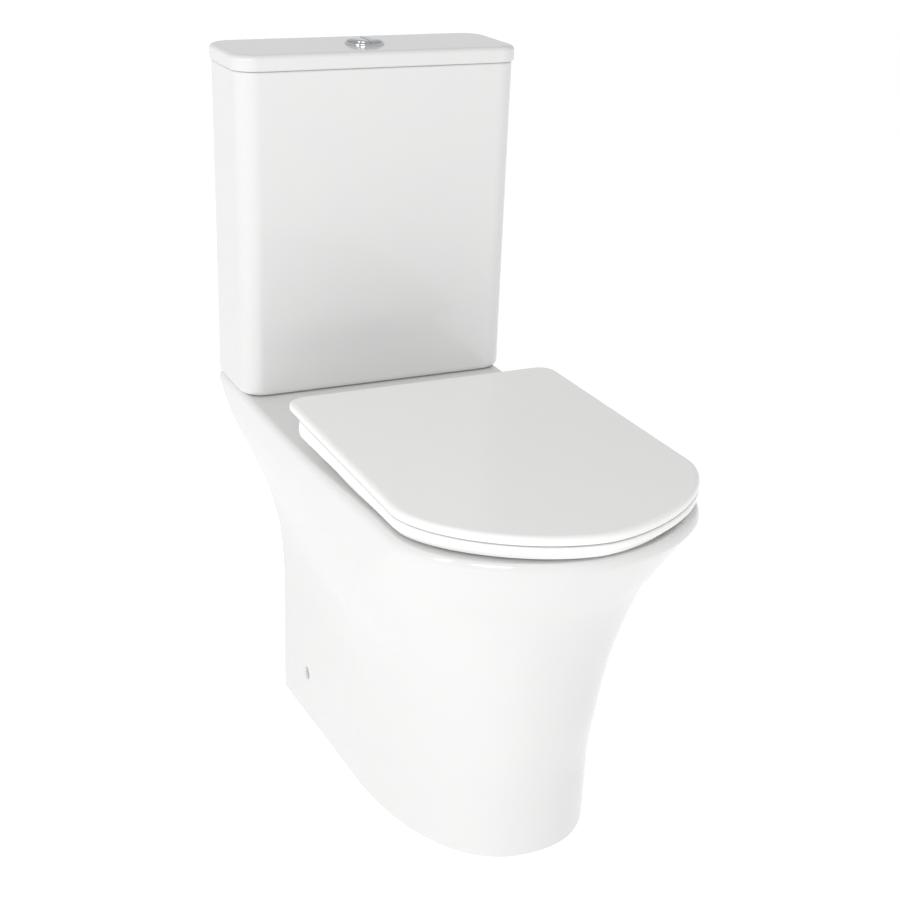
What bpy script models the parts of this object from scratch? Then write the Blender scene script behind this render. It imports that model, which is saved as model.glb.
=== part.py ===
"""Close coupled toilet: pan, cistern, seat and the fittings inside, each as its own closed solid.

Metres. +Z is up, the front of the pan faces -Y and the floor is z = 0.
"""
import math

import bmesh
import bpy
from mathutils import Vector

MM = 0.001

# ---- overall ----
REAR_Y = 357 * MM            # wall face of the cistern
FRONT_Y = -357 * MM          # front of the seat
GAP = 0.3 * MM               # clearance between parts that touch
# ---- pan ----
DECK_Z = 401 * MM            # shelf that carries the cistern
RIM_RISE = 17.7 * MM           # the rim climbs this much towards the front
PAN_HALF = 175 * MM          # half width of shelf and rim
PAN_FRONT = FRONT_Y + 7 * MM
PAN_CURVE_Y = FRONT_Y + 134 * MM      # where the straight rim side turns into the front curve
RIM_POWER = 1.88
FOOT_HALF_REAR = PAN_HALF - 35.3 * MM
FOOT_HALF_FRONT = PAN_HALF - 42.4 * MM
FOOT_REAR = 208 * MM
FOOT_CURVE_Y = 3 * MM
FOOT_FRONT = FRONT_Y + 112 * MM
FOOT_POWER = 2.32
# shares of the way from foot to rim at heights from the floor (0) to the rim's edge (0.975)
LEVELS = (0, 0.2, 0.4, 0.55, 0.68, 0.78, 0.86, 0.92, 0.975)
FLARE_FRONT = (0, 0, 0.115, 0.205, 0.325, 0.48, 0.688, 0.855, 1)
FLARE_REAR = (0, 0, 0, 0.04, 0.205, 0.505, 0.775, 0.91, 1)
FLARE_SIDE = (0, 0.035, 0.085, 0.25, 0.53, 0.715, 0.84, 0.925, 1)
SLICES = [y * MM for y in (103, 41, -37, -119, -203, -287)]
WALL_T = 13 * MM
SHELF_T = 26 * MM
WELL_HALF = PAN_HALF - 52 * MM
WELL_REAR = 25 * MM
WELL_FRONT = FRONT_Y + 54 * MM
WELL_DEPTH_Z = 118 * MM
TRAP_R = 24 * MM
FIX_Y = 120 * MM              # side fixing holes near the foot
FIX_Z = 62 * MM
FIX_R = 7.5 * MM
BRACKET_X = FOOT_HALF_FRONT - 19 * MM   # outer face of the fixing brackets
INLET_R = 30 * MM
# ---- cistern ----
TANK_HALF_TOP = PAN_HALF + 4.8 * MM
TANK_HALF_BOTTOM = PAN_HALF + 3.1 * MM
TANK_FRONT = 229.2 * MM
TANK_CORNER = 26 * MM
TANK_Z = DECK_Z + 1.6 * MM
TANK_TOP = TANK_Z + 396.8 * MM
TANK_WALL = 10 * MM
TANK_FLOOR = 13 * MM
LID_T = 19 * MM
LID_OVER = 2.6 * MM
AXIS_Y = 292 * MM            # flush valve, gasket, coupling bolts
BOLT_X = 72 * MM
FILL_X = 56 * MM - PAN_HALF
# ---- seat ----
SEAT_REAR = 97.5 * MM
SEAT_HALF_REAR = PAN_HALF - 1.9 * MM
SEAT_HALF = PAN_HALF - 0.7 * MM
SEAT_CURVE_Y = FRONT_Y + 132.7 * MM
SEAT_POWER = 1.69
COVER_Z = DECK_Z + RIM_RISE + 22.1 * MM
COVER_T = 9.5 * MM
RING_SETBACK = 32 * MM
RING_TOP = COVER_Z - 1.8 * MM
RING_T_REAR = 22.2 * MM
RING_T_FRONT = 8.4 * MM
HINGE_Y = SEAT_REAR - 9 * MM
HINGE_Z = RING_TOP - 11 * MM
HINGE_X = 77.5 * MM
BARREL_R = 7.5 * MM
PIN_R = 3 * MM
# ---- button ----
BUTTON_R = 19.6 * MM
BEZEL_R = BUTTON_R + 4.4 * MM
SLEEVE_R = BUTTON_R + 2.4 * MM
PRESS = 5 * MM

COLOURS = {
    "china": (0.86, 0.87, 0.87), "seat": (0.88, 0.88, 0.88), "chrome": (0.62, 0.63, 0.65),
    "plastic": (0.82, 0.82, 0.80), "rubber": (0.03, 0.03, 0.03), "steel": (0.5, 0.5, 0.52),
    "brass": (0.72, 0.52, 0.22), "nylon": (0.16, 0.22, 0.34),
}


def clear_scene():
    """Remove every object the file starts with."""
    for obj in list(bpy.data.objects):
        bpy.data.objects.remove(obj, do_unlink=True)


def collection(name):
    """A collection linked to the scene."""
    col = bpy.data.collections.new(name)
    bpy.context.scene.collection.children.link(col)
    return col


clear_scene()
PARTS = collection("close_coupled_toilet")
CUTTERS = collection("cutters")


def material(node, kind):
    """One Principled material per node."""
    mat = bpy.data.materials.new(node)
    mat.use_nodes = True
    shader = mat.node_tree.nodes["Principled BSDF"]
    shader.inputs["Base Color"].default_value = (*COLOURS[kind], 1)
    shader.inputs["Metallic"].default_value = 1.0 if kind in ("chrome", "steel", "brass") else 0.0
    shader.inputs["Roughness"].default_value = 0.12 if kind in ("china", "chrome") else 0.35
    return mat


def finish(bm, name, kind=None):
    """Turn a bmesh into an object; a kind makes it a part, no kind a cutter."""
    bmesh.ops.recalc_face_normals(bm, faces=bm.faces)
    mesh = bpy.data.meshes.new(name)
    bm.to_mesh(mesh)
    bm.free()
    obj = bpy.data.objects.new(name, mesh)
    if kind:
        PARTS.objects.link(obj)
        mesh.materials.append(material(name, kind))
    else:
        CUTTERS.objects.link(obj)
        obj.hide_render = True
        obj.display_type = "WIRE"
    return obj


def skin(bm, rings, closed=False):
    """Join rings of equal length with quads, capping the first and last unless closed."""
    loops = [[bm.verts.new(p) for p in ring] for ring in rings]
    n = len(loops[0])
    pairs = list(zip(loops, loops[1:])) + ([(loops[-1], loops[0])] if closed else [])
    for low, high in pairs:
        for i in range(n):
            j = (i + 1) % n
            bm.faces.new((low[i], low[j], high[j], high[i]))
    if not closed:
        bm.faces.new(list(reversed(loops[0])))
        bm.faces.new(loops[-1])
    return bm


def loft(name, rings, kind=None, closed=False):
    """Solid through a list of rings."""
    return finish(skin(bmesh.new(), rings, closed), name, kind)


def circle(centre, radius, axis="Z", n=24, turn=0.0):
    """Points of a circle about an axis through centre."""
    pts = []
    for i in range(n):
        a = 2 * math.pi * i / n + turn
        u, v = radius * math.cos(a), radius * math.sin(a)
        offset = {"Z": (u, v, 0), "X": (0, u, v), "Y": (v, 0, u)}[axis]
        pts.append(Vector(centre) + Vector(offset))
    return pts


def along(centre, axis, distance):
    """Centre moved along an axis."""
    step = {"X": (1, 0, 0), "Y": (0, 1, 0), "Z": (0, 0, 1)}[axis]
    return Vector(centre) + Vector(step) * distance


def turned(name, centre, profile, kind=None, axis="Z", n=24, turn=0.0):
    """Solid of revolution from (distance along axis, radius) pairs, capped at both ends."""
    rings = [circle(along(centre, axis, d), r, axis, n, turn) for d, r in profile]
    return loft(name, rings, kind)


def tube(name, centre, profile, kind=None, axis="Z", n=20):
    """Hollow solid of revolution: the profile is a closed loop of (distance, radius)."""
    rings = [circle(along(centre, axis, d), r, axis, n) for d, r in profile]
    return loft(name, rings, kind, closed=True)


def rod(name, centre, axis, start, end, radius, kind=None, n=24):
    """Plain cylinder between two distances along an axis."""
    return turned(name, centre, [(start, radius), (end, radius)], kind, axis, n)


def box(name, low, high, kind=None):
    """Axis aligned box."""
    (x0, y0, z0), (x1, y1, z1) = low, high
    rings = [[(x0, y0, z), (x1, y0, z), (x1, y1, z), (x0, y1, z)] for z in (z0, z1)]
    return loft(name, rings, kind)


def combine(target, others, operation):
    """Exact Boolean of target with each of the others."""
    for other in others:
        mod = target.modifiers.new(other.name, "BOOLEAN")
        mod.operation = operation
        mod.solver = "EXACT"
        mod.object = other
    bpy.context.view_layer.update()
    depsgraph = bpy.context.evaluated_depsgraph_get()
    mesh = bpy.data.meshes.new_from_object(target.evaluated_get(depsgraph))
    target.modifiers.clear()
    target.data = mesh
    for other in others:
        bpy.data.objects.remove(other, do_unlink=True)
    return target


def cut(target, *others):
    """Target minus the others."""
    return combine(target, others, "DIFFERENCE")


def join(target, *others):
    """Target plus the others."""
    return combine(target, others, "UNION")


def mix(a, b, t):
    """Linear blend."""
    return a + (b - a) * t


def smooth(t):
    """Smoothstep held to 0..1."""
    t = min(max(t, 0.0), 1.0)
    return t * t * (3 - 2 * t)


def d_outline(half_rear, half, rear, curve_y, front, power, z, corner=10 * MM, n_curve=32, n_corner=4):
    """D shape in plan: square rear with small corners, straight sides, superellipse front."""
    pts = []
    for k in range(n_corner + 1):
        a = math.radians(90 + 90 * k / n_corner)
        pts.append(Vector((-half_rear + corner + corner * math.cos(a), rear - corner + corner * math.sin(a), z)))
    for k in range(n_curve + 1):
        a = math.pi * k / n_curve
        c, s = math.cos(a), math.sin(a)
        x = -half * math.copysign(abs(c) ** (2 / power), c)
        y = curve_y + (front - curve_y) * abs(s) ** (2 / power)
        pts.append(Vector((x, y, z)))
    for k in range(n_corner + 1):
        a = math.radians(90 * k / n_corner)
        pts.append(Vector((half_rear - corner + corner * math.cos(a), rear - corner + corner * math.sin(a), z)))
    return pts


def rounded_box(half, front, rear, corner, z, n=5):
    """Rounded rectangle in plan."""
    pts = []
    for cx, cy, start in ((half - corner, rear - corner, 0), (-half + corner, rear - corner, 90),
                          (-half + corner, front + corner, 180), (half - corner, front + corner, 270)):
        for k in range(n + 1):
            a = math.radians(start + 90 * k / n)
            pts.append(Vector((cx + corner * math.cos(a), cy + corner * math.sin(a), z)))
    return pts


def rim_rise(y):
    """How far the top of the pan has climbed at y, from the hinge to the front."""
    return RIM_RISE * smooth((SEAT_REAR + 18.5 * MM - y) / (SEAT_REAR - 12 * MM - FRONT_Y))


# ------------------------------------------------------------------ pan
def flare(table, height):
    """Smooth line through a table of shares at LEVELS."""
    last = len(LEVELS) - 1
    i = min(sum(1 for level in LEVELS[1:-1] if height >= level), last - 1)

    def slope(k):
        if k in (0, last):
            a, b = (0, 1) if k == 0 else (last - 1, last)
            return (table[b] - table[a]) / (LEVELS[b] - LEVELS[a])
        left = (table[k] - table[k - 1]) / (LEVELS[k] - LEVELS[k - 1])
        right = (table[k + 1] - table[k]) / (LEVELS[k + 1] - LEVELS[k])
        return 0 if left * right <= 0 else 2 * left * right / (left + right)

    span = LEVELS[i + 1] - LEVELS[i]
    t = min(max((height - LEVELS[i]) / span, 0), 1)
    return ((1 + 2 * t) * (1 - t) ** 2 * table[i] + t * (1 - t) ** 2 * span * slope(i)
            + t * t * (3 - 2 * t) * table[i + 1] - t * t * (1 - t) * span * slope(i + 1))


def pan_section(height, inset=0.0, z=None, drop=0.0):
    """Plan outline of the pan's outside at a height from 0 (floor) to 1 (deck)."""
    front_t, rear_t, side_t = (flare(table, height) for table in (FLARE_FRONT, FLARE_REAR, FLARE_SIDE))
    half_rear = mix(FOOT_HALF_REAR, PAN_HALF, rear_t) - inset
    half = mix(FOOT_HALF_FRONT, PAN_HALF, side_t) - inset
    rear = mix(FOOT_REAR, REAR_Y - 1 * MM, rear_t) - inset
    curve = mix(FOOT_CURVE_Y, PAN_CURVE_Y, front_t)
    front = mix(FOOT_FRONT, PAN_FRONT, front_t) + inset
    power = mix(FOOT_POWER, RIM_POWER, front_t)
    return d_outline(half_rear, half, rear, curve, front, power, DECK_Z * height if z is None else z)


def lift(obj):
    """Give the top of the pan its climb towards the front."""
    for v in obj.data.vertices:
        v.co.z += rim_rise(v.co.y) * min(max(v.co.z / DECK_Z, 0), 1.05) ** 3
    return obj


def sliced(obj):
    """Add edges across the body so that its top can follow the climb."""
    bm = bmesh.new()
    bm.from_mesh(obj.data)
    for y in SLICES:
        geom = bm.verts[:] + bm.edges[:] + bm.faces[:]
        bmesh.ops.bisect_plane(bm, geom=geom, dist=1e-7, plane_co=(0, y, 0), plane_no=(0, 1, 0))
    bm.to_mesh(obj.data)
    bm.free()
    return obj


def egg(t, z, grow=0.0, n=36):
    """Bowl outline: t = 0 at the rim, 1 at the sump."""
    half = mix(WELL_HALF, 34 * MM, t) + grow
    rear = mix(WELL_REAR, -14 * MM, t) + grow
    front = mix(WELL_FRONT, -120 * MM, t ** 0.9) - grow
    mid, reach = (rear + front) / 2, (rear - front) / 2
    pts = []
    for k in range(n):
        a = 2 * math.pi * k / n
        c, s = math.cos(a), math.sin(a)
        wide = half * (1 + 0.06 * s)
        pts.append(Vector((wide * math.copysign(abs(c) ** 0.92, c), mid + reach * math.copysign(abs(s) ** 0.92, s), z)))
    return pts


def well_rings(grow, top, floor_drop=0.0):
    """Rings of the bowl from the rim down to the sump."""
    rings = []
    for z_t, t in ((0, 0), (0.06, 0.03), (0.2, 0.1), (0.38, 0.24), (0.55, 0.45), (0.7, 0.68), (0.82, 0.86), (0.92, 0.96),
                   (1, 1)):
        z = mix(top, WELL_DEPTH_Z - floor_drop, z_t)
        rings.append(egg(t, z, grow))
    return list(reversed(rings))


def trap_path():
    """Centre line of the trap: under the dip, over the weir and out at the back."""
    y, z, heading = -52 * MM, 140 * MM, math.radians(-62)
    pts = [(y, z, heading)]
    for turn_deg, radius, straight in ((128, 50 * MM, 16 * MM), (-112, 46 * MM, 6 * MM), (46, 60 * MM, 0)):
        steps = max(3, int(abs(turn_deg) / 18))
        for _ in range(steps):
            step = math.radians(turn_deg) / steps
            length = abs(step) * radius
            heading += step / 2
            y, z = y + length * math.cos(heading), z + length * math.sin(heading)
            heading += step / 2
            pts.append((y, z, heading))
        if straight:
            y, z = y + straight * math.cos(heading), z + straight * math.sin(heading)
            pts.append((y, z, heading))
    return pts


def pipe(name, radius, extend=0.0, n=16):
    """Tube body swept along the trap's centre line, its last length level to the outlet."""
    path = trap_path()
    y0, z0, h0 = path[0]
    if extend:
        path = [(y0 - extend * math.cos(h0), z0 - extend * math.sin(h0), h0)] + path
    path = path + [(FOOT_REAR + 44 * MM + (2 * MM if extend else 0), path[-1][1], 0.0)]
    rings = []
    for y, z, heading in path:
        side, up = Vector((1, 0, 0)), Vector((0, -math.sin(heading), math.cos(heading)))
        rings.append([Vector((0, y, z)) + side * radius * math.cos(2 * math.pi * k / n)
                      + up * radius * math.sin(2 * math.pi * k / n) for k in range(n)])
    return loft(name, rings)


def build_pan():
    """Glazed pan: outer skin, hollow back, bowl well, trap, inlet and fixing holes."""
    heights = [0, 0.02, 0.16, 0.3, 0.42, 0.52, 0.61, 0.69, 0.76, 0.83, 0.89, 0.94, 0.975]
    rings = [pan_section(h, 1.5 * MM if h == 0 else 0.0) for h in heights]
    edge = 6 * MM
    for k in (1, 2, 3):
        a = math.radians(30 * k)
        rings.append(pan_section(0.975, edge * (1 - math.cos(a)), z=DECK_Z * (0.975 + 0.025 * math.sin(a))))
    outer = lift(sliced(loft("pan", rings, "china")))
    inner = []
    for h in (0, 0.16, 0.3, 0.42, 0.52, 0.61, 0.69, 0.77, 0.84, 0.9):
        z = h * DECK_Z - (5 * MM if h == 0 else 0)
        inner.append(pan_section(h, WALL_T, z=z))
    inner.append(pan_section(0.9, WALL_T + 4 * MM, z=DECK_Z - SHELF_T))
    hollow = lift(sliced(loft("hollow", inner)))
    back = box("back_opening", (-92 * MM, 150 * MM, -5 * MM), (92 * MM, REAR_Y + 20 * MM, 300 * MM))
    bowl = lift(loft("bowl_wall", well_rings(13 * MM, DECK_Z - 8 * MM, 12 * MM)))
    trap = pipe("trap_wall", TRAP_R + 9 * MM)
    chamber = box("inlet_chamber", (-46 * MM, -6 * MM, DECK_Z - 84 * MM),
                  (46 * MM, AXIS_Y + 46 * MM, DECK_Z - SHELF_T + 4 * MM))
    cut(outer, hollow)
    cut(outer, back)
    join(outer, bowl)
    join(outer, chamber)
    join(outer, trap)
    well = lift(loft("well", well_rings(0, DECK_Z + 8 * MM)))
    cut(outer, well)
    cut(outer, pipe("trap_bore", TRAP_R, extend=30 * MM))
    cut(outer, rod("inlet_bore", (0, AXIS_Y, DECK_Z), "Z", -70 * MM, 30 * MM, INLET_R + 4 * MM, n=32))
    cut(outer, rod("inlet_seat", (0, AXIS_Y, DECK_Z), "Z", -11 * MM, 30 * MM, 47 * MM, n=32))
    cut(outer, rod("inlet_gallery", (0, AXIS_Y, DECK_Z - 48 * MM), "Y", -290 * MM, 0, 21 * MM, n=24))
    holes = []
    for side in (-1, 1):
        holes.append(rod("bolt_hole", (side * BOLT_X, AXIS_Y, DECK_Z), "Z", -60 * MM, 30 * MM, 7 * MM, n=20))
        holes.append(rod("hinge_hole", (side * HINGE_X, HINGE_Y, DECK_Z), "Z", -60 * MM, 30 * MM, 7 * MM, n=20))
        holes.append(rod("side_hole", (side * (FOOT_HALF_FRONT - 2 * MM), FIX_Y, FIX_Z), "X", -30 * MM, 30 * MM, FIX_R, n=20))
    holes.append(rod("supply_hole", (FILL_X, AXIS_Y, DECK_Z), "Z", -60 * MM, 30 * MM, 22 * MM, n=24))
    cut(outer, *holes)
    return outer


# ------------------------------------------------------------------ cistern
def tank_half(t):
    """Half width of the cistern from bottom (0) to top (1)."""
    return mix(TANK_HALF_BOTTOM, TANK_HALF_TOP, t ** 1.5)


def build_tank():
    """Tapered open-topped tank with rounded bottom corners and holes in its floor."""
    span = TANK_TOP - TANK_Z
    rings = []
    curl = 7 * MM
    for k in range(6):
        a = math.radians(90 * k / 5)
        inset = curl * (1 - math.sin(a)) * 0.8
        rings.append(rounded_box(tank_half(0) - inset, TANK_FRONT + inset * 0.6, REAR_Y, TANK_CORNER,
                                 TANK_Z + curl * (1 - math.cos(a))))
    for t in (0.25, 0.5, 0.75, 0.99):
        rings.append(rounded_box(tank_half(t), TANK_FRONT, REAR_Y, TANK_CORNER, TANK_Z + span * t))
    rings.append(rounded_box(tank_half(1) - 2 * MM, TANK_FRONT + 2 * MM, REAR_Y - 2 * MM, TANK_CORNER - 2 * MM, TANK_TOP))
    tank = loft("cistern_tank", rings, "china")
    inside = []
    for t, grow in ((TANK_FLOOR / span, 6 * MM), (0.07, 0), (0.5, 0), (1.02, 0)):
        inside.append(rounded_box(tank_half(t) - TANK_WALL - grow, TANK_FRONT + TANK_WALL + grow,
                                  REAR_Y - TANK_WALL - grow, TANK_CORNER - 8 * MM, TANK_Z + span * t))
    cut(tank, loft("tank_space", inside))
    floor = (TANK_Z - 5 * MM, TANK_Z + TANK_FLOOR + 5 * MM)
    holes = [rod("outlet", (0, AXIS_Y, 0), "Z", *floor, 24 * MM, n=32),
             rod("supply", (FILL_X, AXIS_Y, 0), "Z", *floor, 8 * MM)]
    holes += [rod("bolt", (s * BOLT_X, AXIS_Y, 0), "Z", *floor, 6 * MM) for s in (-1, 1)]
    cut(tank, *holes)
    return tank


def build_lid():
    """Slab lid with rounded edges, a locating rim below and the button hole."""
    z0 = TANK_TOP + GAP
    half, front, rear = TANK_HALF_TOP + LID_OVER, TANK_FRONT - 1.6 * MM, REAR_Y
    edge = 5 * MM
    rings = [rounded_box(half - 1.5 * MM, front + 1.5 * MM, rear - 1.5 * MM, TANK_CORNER, z0),
             rounded_box(half, front, rear, TANK_CORNER + 1 * MM, z0 + 1.5 * MM)]
    for k in range(5):
        a = math.radians(90 * k / 4)
        inset = edge * (1 - math.cos(a))
        rings.append(rounded_box(half - inset, front + inset, rear - inset, TANK_CORNER + 1 * MM - inset * 0.5,
                                 z0 + LID_T - edge + edge * math.sin(a)))
    lid = loft("cistern_lid", rings, "china")
    inner = TANK_HALF_TOP - TANK_WALL - 4 * MM
    rim = loft("rim", [rounded_box(inner, TANK_FRONT + TANK_WALL + 4 * MM, REAR_Y - TANK_WALL - 4 * MM, 14 * MM, z)
                       for z in (z0 - 8 * MM, z0 + 1 * MM)])
    join(lid, rim)
    well = loft("rim_space", [rounded_box(inner - 8 * MM, TANK_FRONT + TANK_WALL + 12 * MM,
                                          REAR_Y - TANK_WALL - 12 * MM, 8 * MM, z)
                              for z in (z0 - 9 * MM, z0 + 2.5 * MM)])
    cut(lid, well)
    cut(lid, rod("button_hole", (0, AXIS_Y, z0), "Z", -10 * MM, LID_T + 10 * MM, SLEEVE_R + 0.7 * MM, n=40))
    return lid


LID_TOP = TANK_TOP + GAP + LID_T
LID_UNDER = TANK_TOP + GAP + 2.5 * MM


def build_button():
    """Chrome rim with a threaded sleeve, lock nut, two half buttons with push rods."""
    z = LID_TOP + GAP
    low = LID_UNDER - 12 * MM - LID_TOP
    tube("button_bezel", (0, AXIS_Y, z),
         [(0, BEZEL_R), (1.6 * MM, BEZEL_R - 0.4 * MM), (3 * MM, BEZEL_R - 2 * MM), (3 * MM, BUTTON_R + 1 * MM),
          (2.2 * MM, BUTTON_R + 0.5 * MM), (low, BUTTON_R + 0.5 * MM), (low, SLEEVE_R), (0, SLEEVE_R)],
         "chrome", n=36)
    tube("button_locknut", (0, AXIS_Y, LID_UNDER - GAP),
         [(0, SLEEVE_R + 0.4 * MM), (0, 29 * MM), (-3 * MM, 29 * MM), (-3 * MM, 26.5 * MM), (-9 * MM, 26.5 * MM),
          (-9 * MM, SLEEVE_R + 0.4 * MM)], "plastic", n=32)
    for side, name in ((-1, "half_flush"), (1, "full_flush")):
        top, bottom = 5.4 * MM, -7 * MM
        rings = []
        for d, shrink in ((bottom, 0), (top - 1.6 * MM, 0), (top - 0.5 * MM, 0.5 * MM), (top, 1.8 * MM)):
            radius = BUTTON_R - shrink
            flat = 0.6 * MM + shrink
            reach = math.acos(flat / radius)
            ring = []
            for k in range(17):
                a = -reach + 2 * reach * k / 16
                ring.append(Vector((side * radius * math.cos(a), AXIS_Y + radius * math.sin(a), z + d)))
            rings.append(ring)
        loft(name + "_button", rings, "chrome")
        turned(name + "_rod", (side * 9 * MM, AXIS_Y, z + bottom - GAP),
               [(0, 5 * MM), (-4 * MM, 5 * MM), (-4 * MM, 2.5 * MM), (-98 * MM, 2.5 * MM), (-98 * MM, 4 * MM),
                (-100 * MM, 4 * MM)], "plastic", n=14)


def build_coupling():
    """Gasket, bolts, washers and wing nuts that hold the cistern on the pan."""
    tall = TANK_Z - DECK_Z + 11 * MM - 2 * GAP
    tube("coupling_gasket", (0, AXIS_Y, DECK_Z - 11 * MM + GAP),
         [(0, 35 * MM), (0, 46 * MM), (8 * MM, 46 * MM), (tall, 42 * MM), (tall, 35 * MM)],
         "rubber", n=28)
    floor = TANK_Z + TANK_FLOOR
    under = DECK_Z - SHELF_T
    for side, tag in ((-1, "left"), (1, "right")):
        x = side * BOLT_X
        turned("coupling_bolt_" + tag, (x, AXIS_Y, 0),
               [(under - 30 * MM, 4 * MM), (floor + 4.6 * MM, 4 * MM), (floor + 4.6 * MM, 9 * MM),
                (floor + 8 * MM, 9 * MM), (floor + 10 * MM, 6 * MM)], "brass", n=20)
        tube("bolt_seal_" + tag, (x, AXIS_Y, floor + GAP),
             [(0, 4.4 * MM), (0, 13 * MM), (2.5 * MM, 12 * MM), (4 * MM, 8.5 * MM), (4 * MM, 4.4 * MM)], "rubber", n=20)
        tube("bolt_washer_" + tag, (x, AXIS_Y, under - GAP),
             [(0, 4.5 * MM), (0, 13 * MM), (-2 * MM, 13 * MM), (-2 * MM, 4.5 * MM)], "brass", n=20)
        nut = turned("wing_nut_" + tag, (x, AXIS_Y, under - 2.6 * MM),
                     [(0, 9 * MM), (-6 * MM, 8 * MM), (-12 * MM, 7 * MM)], "nylon", n=20)
        wings = box("wings", (x - 17 * MM, AXIS_Y - 2 * MM, under - 15 * MM), (x + 17 * MM, AXIS_Y + 2 * MM, under - 4 * MM))
        join(nut, wings)
        cut(nut, rod("thread", (x, AXIS_Y, under), "Z", -20 * MM, 5 * MM, 4.3 * MM, n=20))


def build_flush_valve():
    """Valve body with cage, moving overflow tube with its seal, actuator head, washer and back nut."""
    floor = TANK_Z + TANK_FLOOR
    base = floor + 3.6 * MM
    body = tube("flush_valve_body", (0, AXIS_Y, 0),
                [(TANK_Z - 26 * MM, 17 * MM), (TANK_Z - 26 * MM, 22 * MM), (base, 22 * MM), (base, 36 * MM),
                 (base + 6 * MM, 36 * MM), (base + 6 * MM, 21 * MM), (base + 9 * MM, 19 * MM), (base + 9 * MM, 17 * MM)],
                "plastic", n=32)
    posts = []
    for k in range(4):
        a = math.radians(45 + 90 * k)
        px, py = 31 * MM * math.cos(a), AXIS_Y + 31 * MM * math.sin(a)
        posts.append(rod("post", (px, py, 0), "Z", base + 3 * MM, base + 226 * MM, 4 * MM, n=10))
    crown = tube("crown", (0, AXIS_Y, 0), [(base + 222 * MM, 18 * MM), (base + 222 * MM, 36 * MM),
                                           (base + 230 * MM, 36 * MM), (base + 230 * MM, 18 * MM)], n=32)
    for post in posts:
        join(body, post)
    join(body, crown)
    tube("overflow_tube", (0, AXIS_Y, 0),
         [(base + 12.6 * MM, 12 * MM), (base + 12.6 * MM, 24 * MM), (base + 15 * MM, 24 * MM), (base + 18 * MM, 15 * MM),
          (base + 262 * MM, 15 * MM), (base + 262 * MM, 12 * MM)], "plastic", n=24)
    tube("overflow_seal", (0, AXIS_Y, 0),
         [(base + 9.3 * MM, 14 * MM), (base + 9.3 * MM, 25 * MM), (base + 12.3 * MM, 25 * MM), (base + 12.3 * MM, 14 * MM)],
         "rubber", n=32)
    tube("flush_valve_washer", (0, AXIS_Y, floor + GAP),
         [(0, 22.4 * MM), (0, 35 * MM), (3 * MM, 35 * MM), (3 * MM, 22.4 * MM)], "rubber", n=32)
    tube("flush_valve_backnut", (0, AXIS_Y, TANK_Z - GAP),
         [(0, 22.4 * MM), (0, 33 * MM), (-8 * MM, 33 * MM), (-8 * MM, 22.4 * MM)], "nylon", n=6 * 6)
    head = base + 230 * MM + GAP
    actuator = tube("actuator_head", (0, AXIS_Y, 0),
                    [(head, 17 * MM), (head, 34 * MM), (head + 12 * MM, 34 * MM), (head + 58 * MM, 24 * MM),
                     (head + 58 * MM, 17 * MM)], "nylon", n=32)
    for side in (-1, 1):
        cut(actuator, box("window", (side * 26 * MM - 10 * MM, AXIS_Y - 7 * MM, head + 16 * MM),
                          (side * 26 * MM + 10 * MM, AXIS_Y + 7 * MM, head + 48 * MM)))


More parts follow.
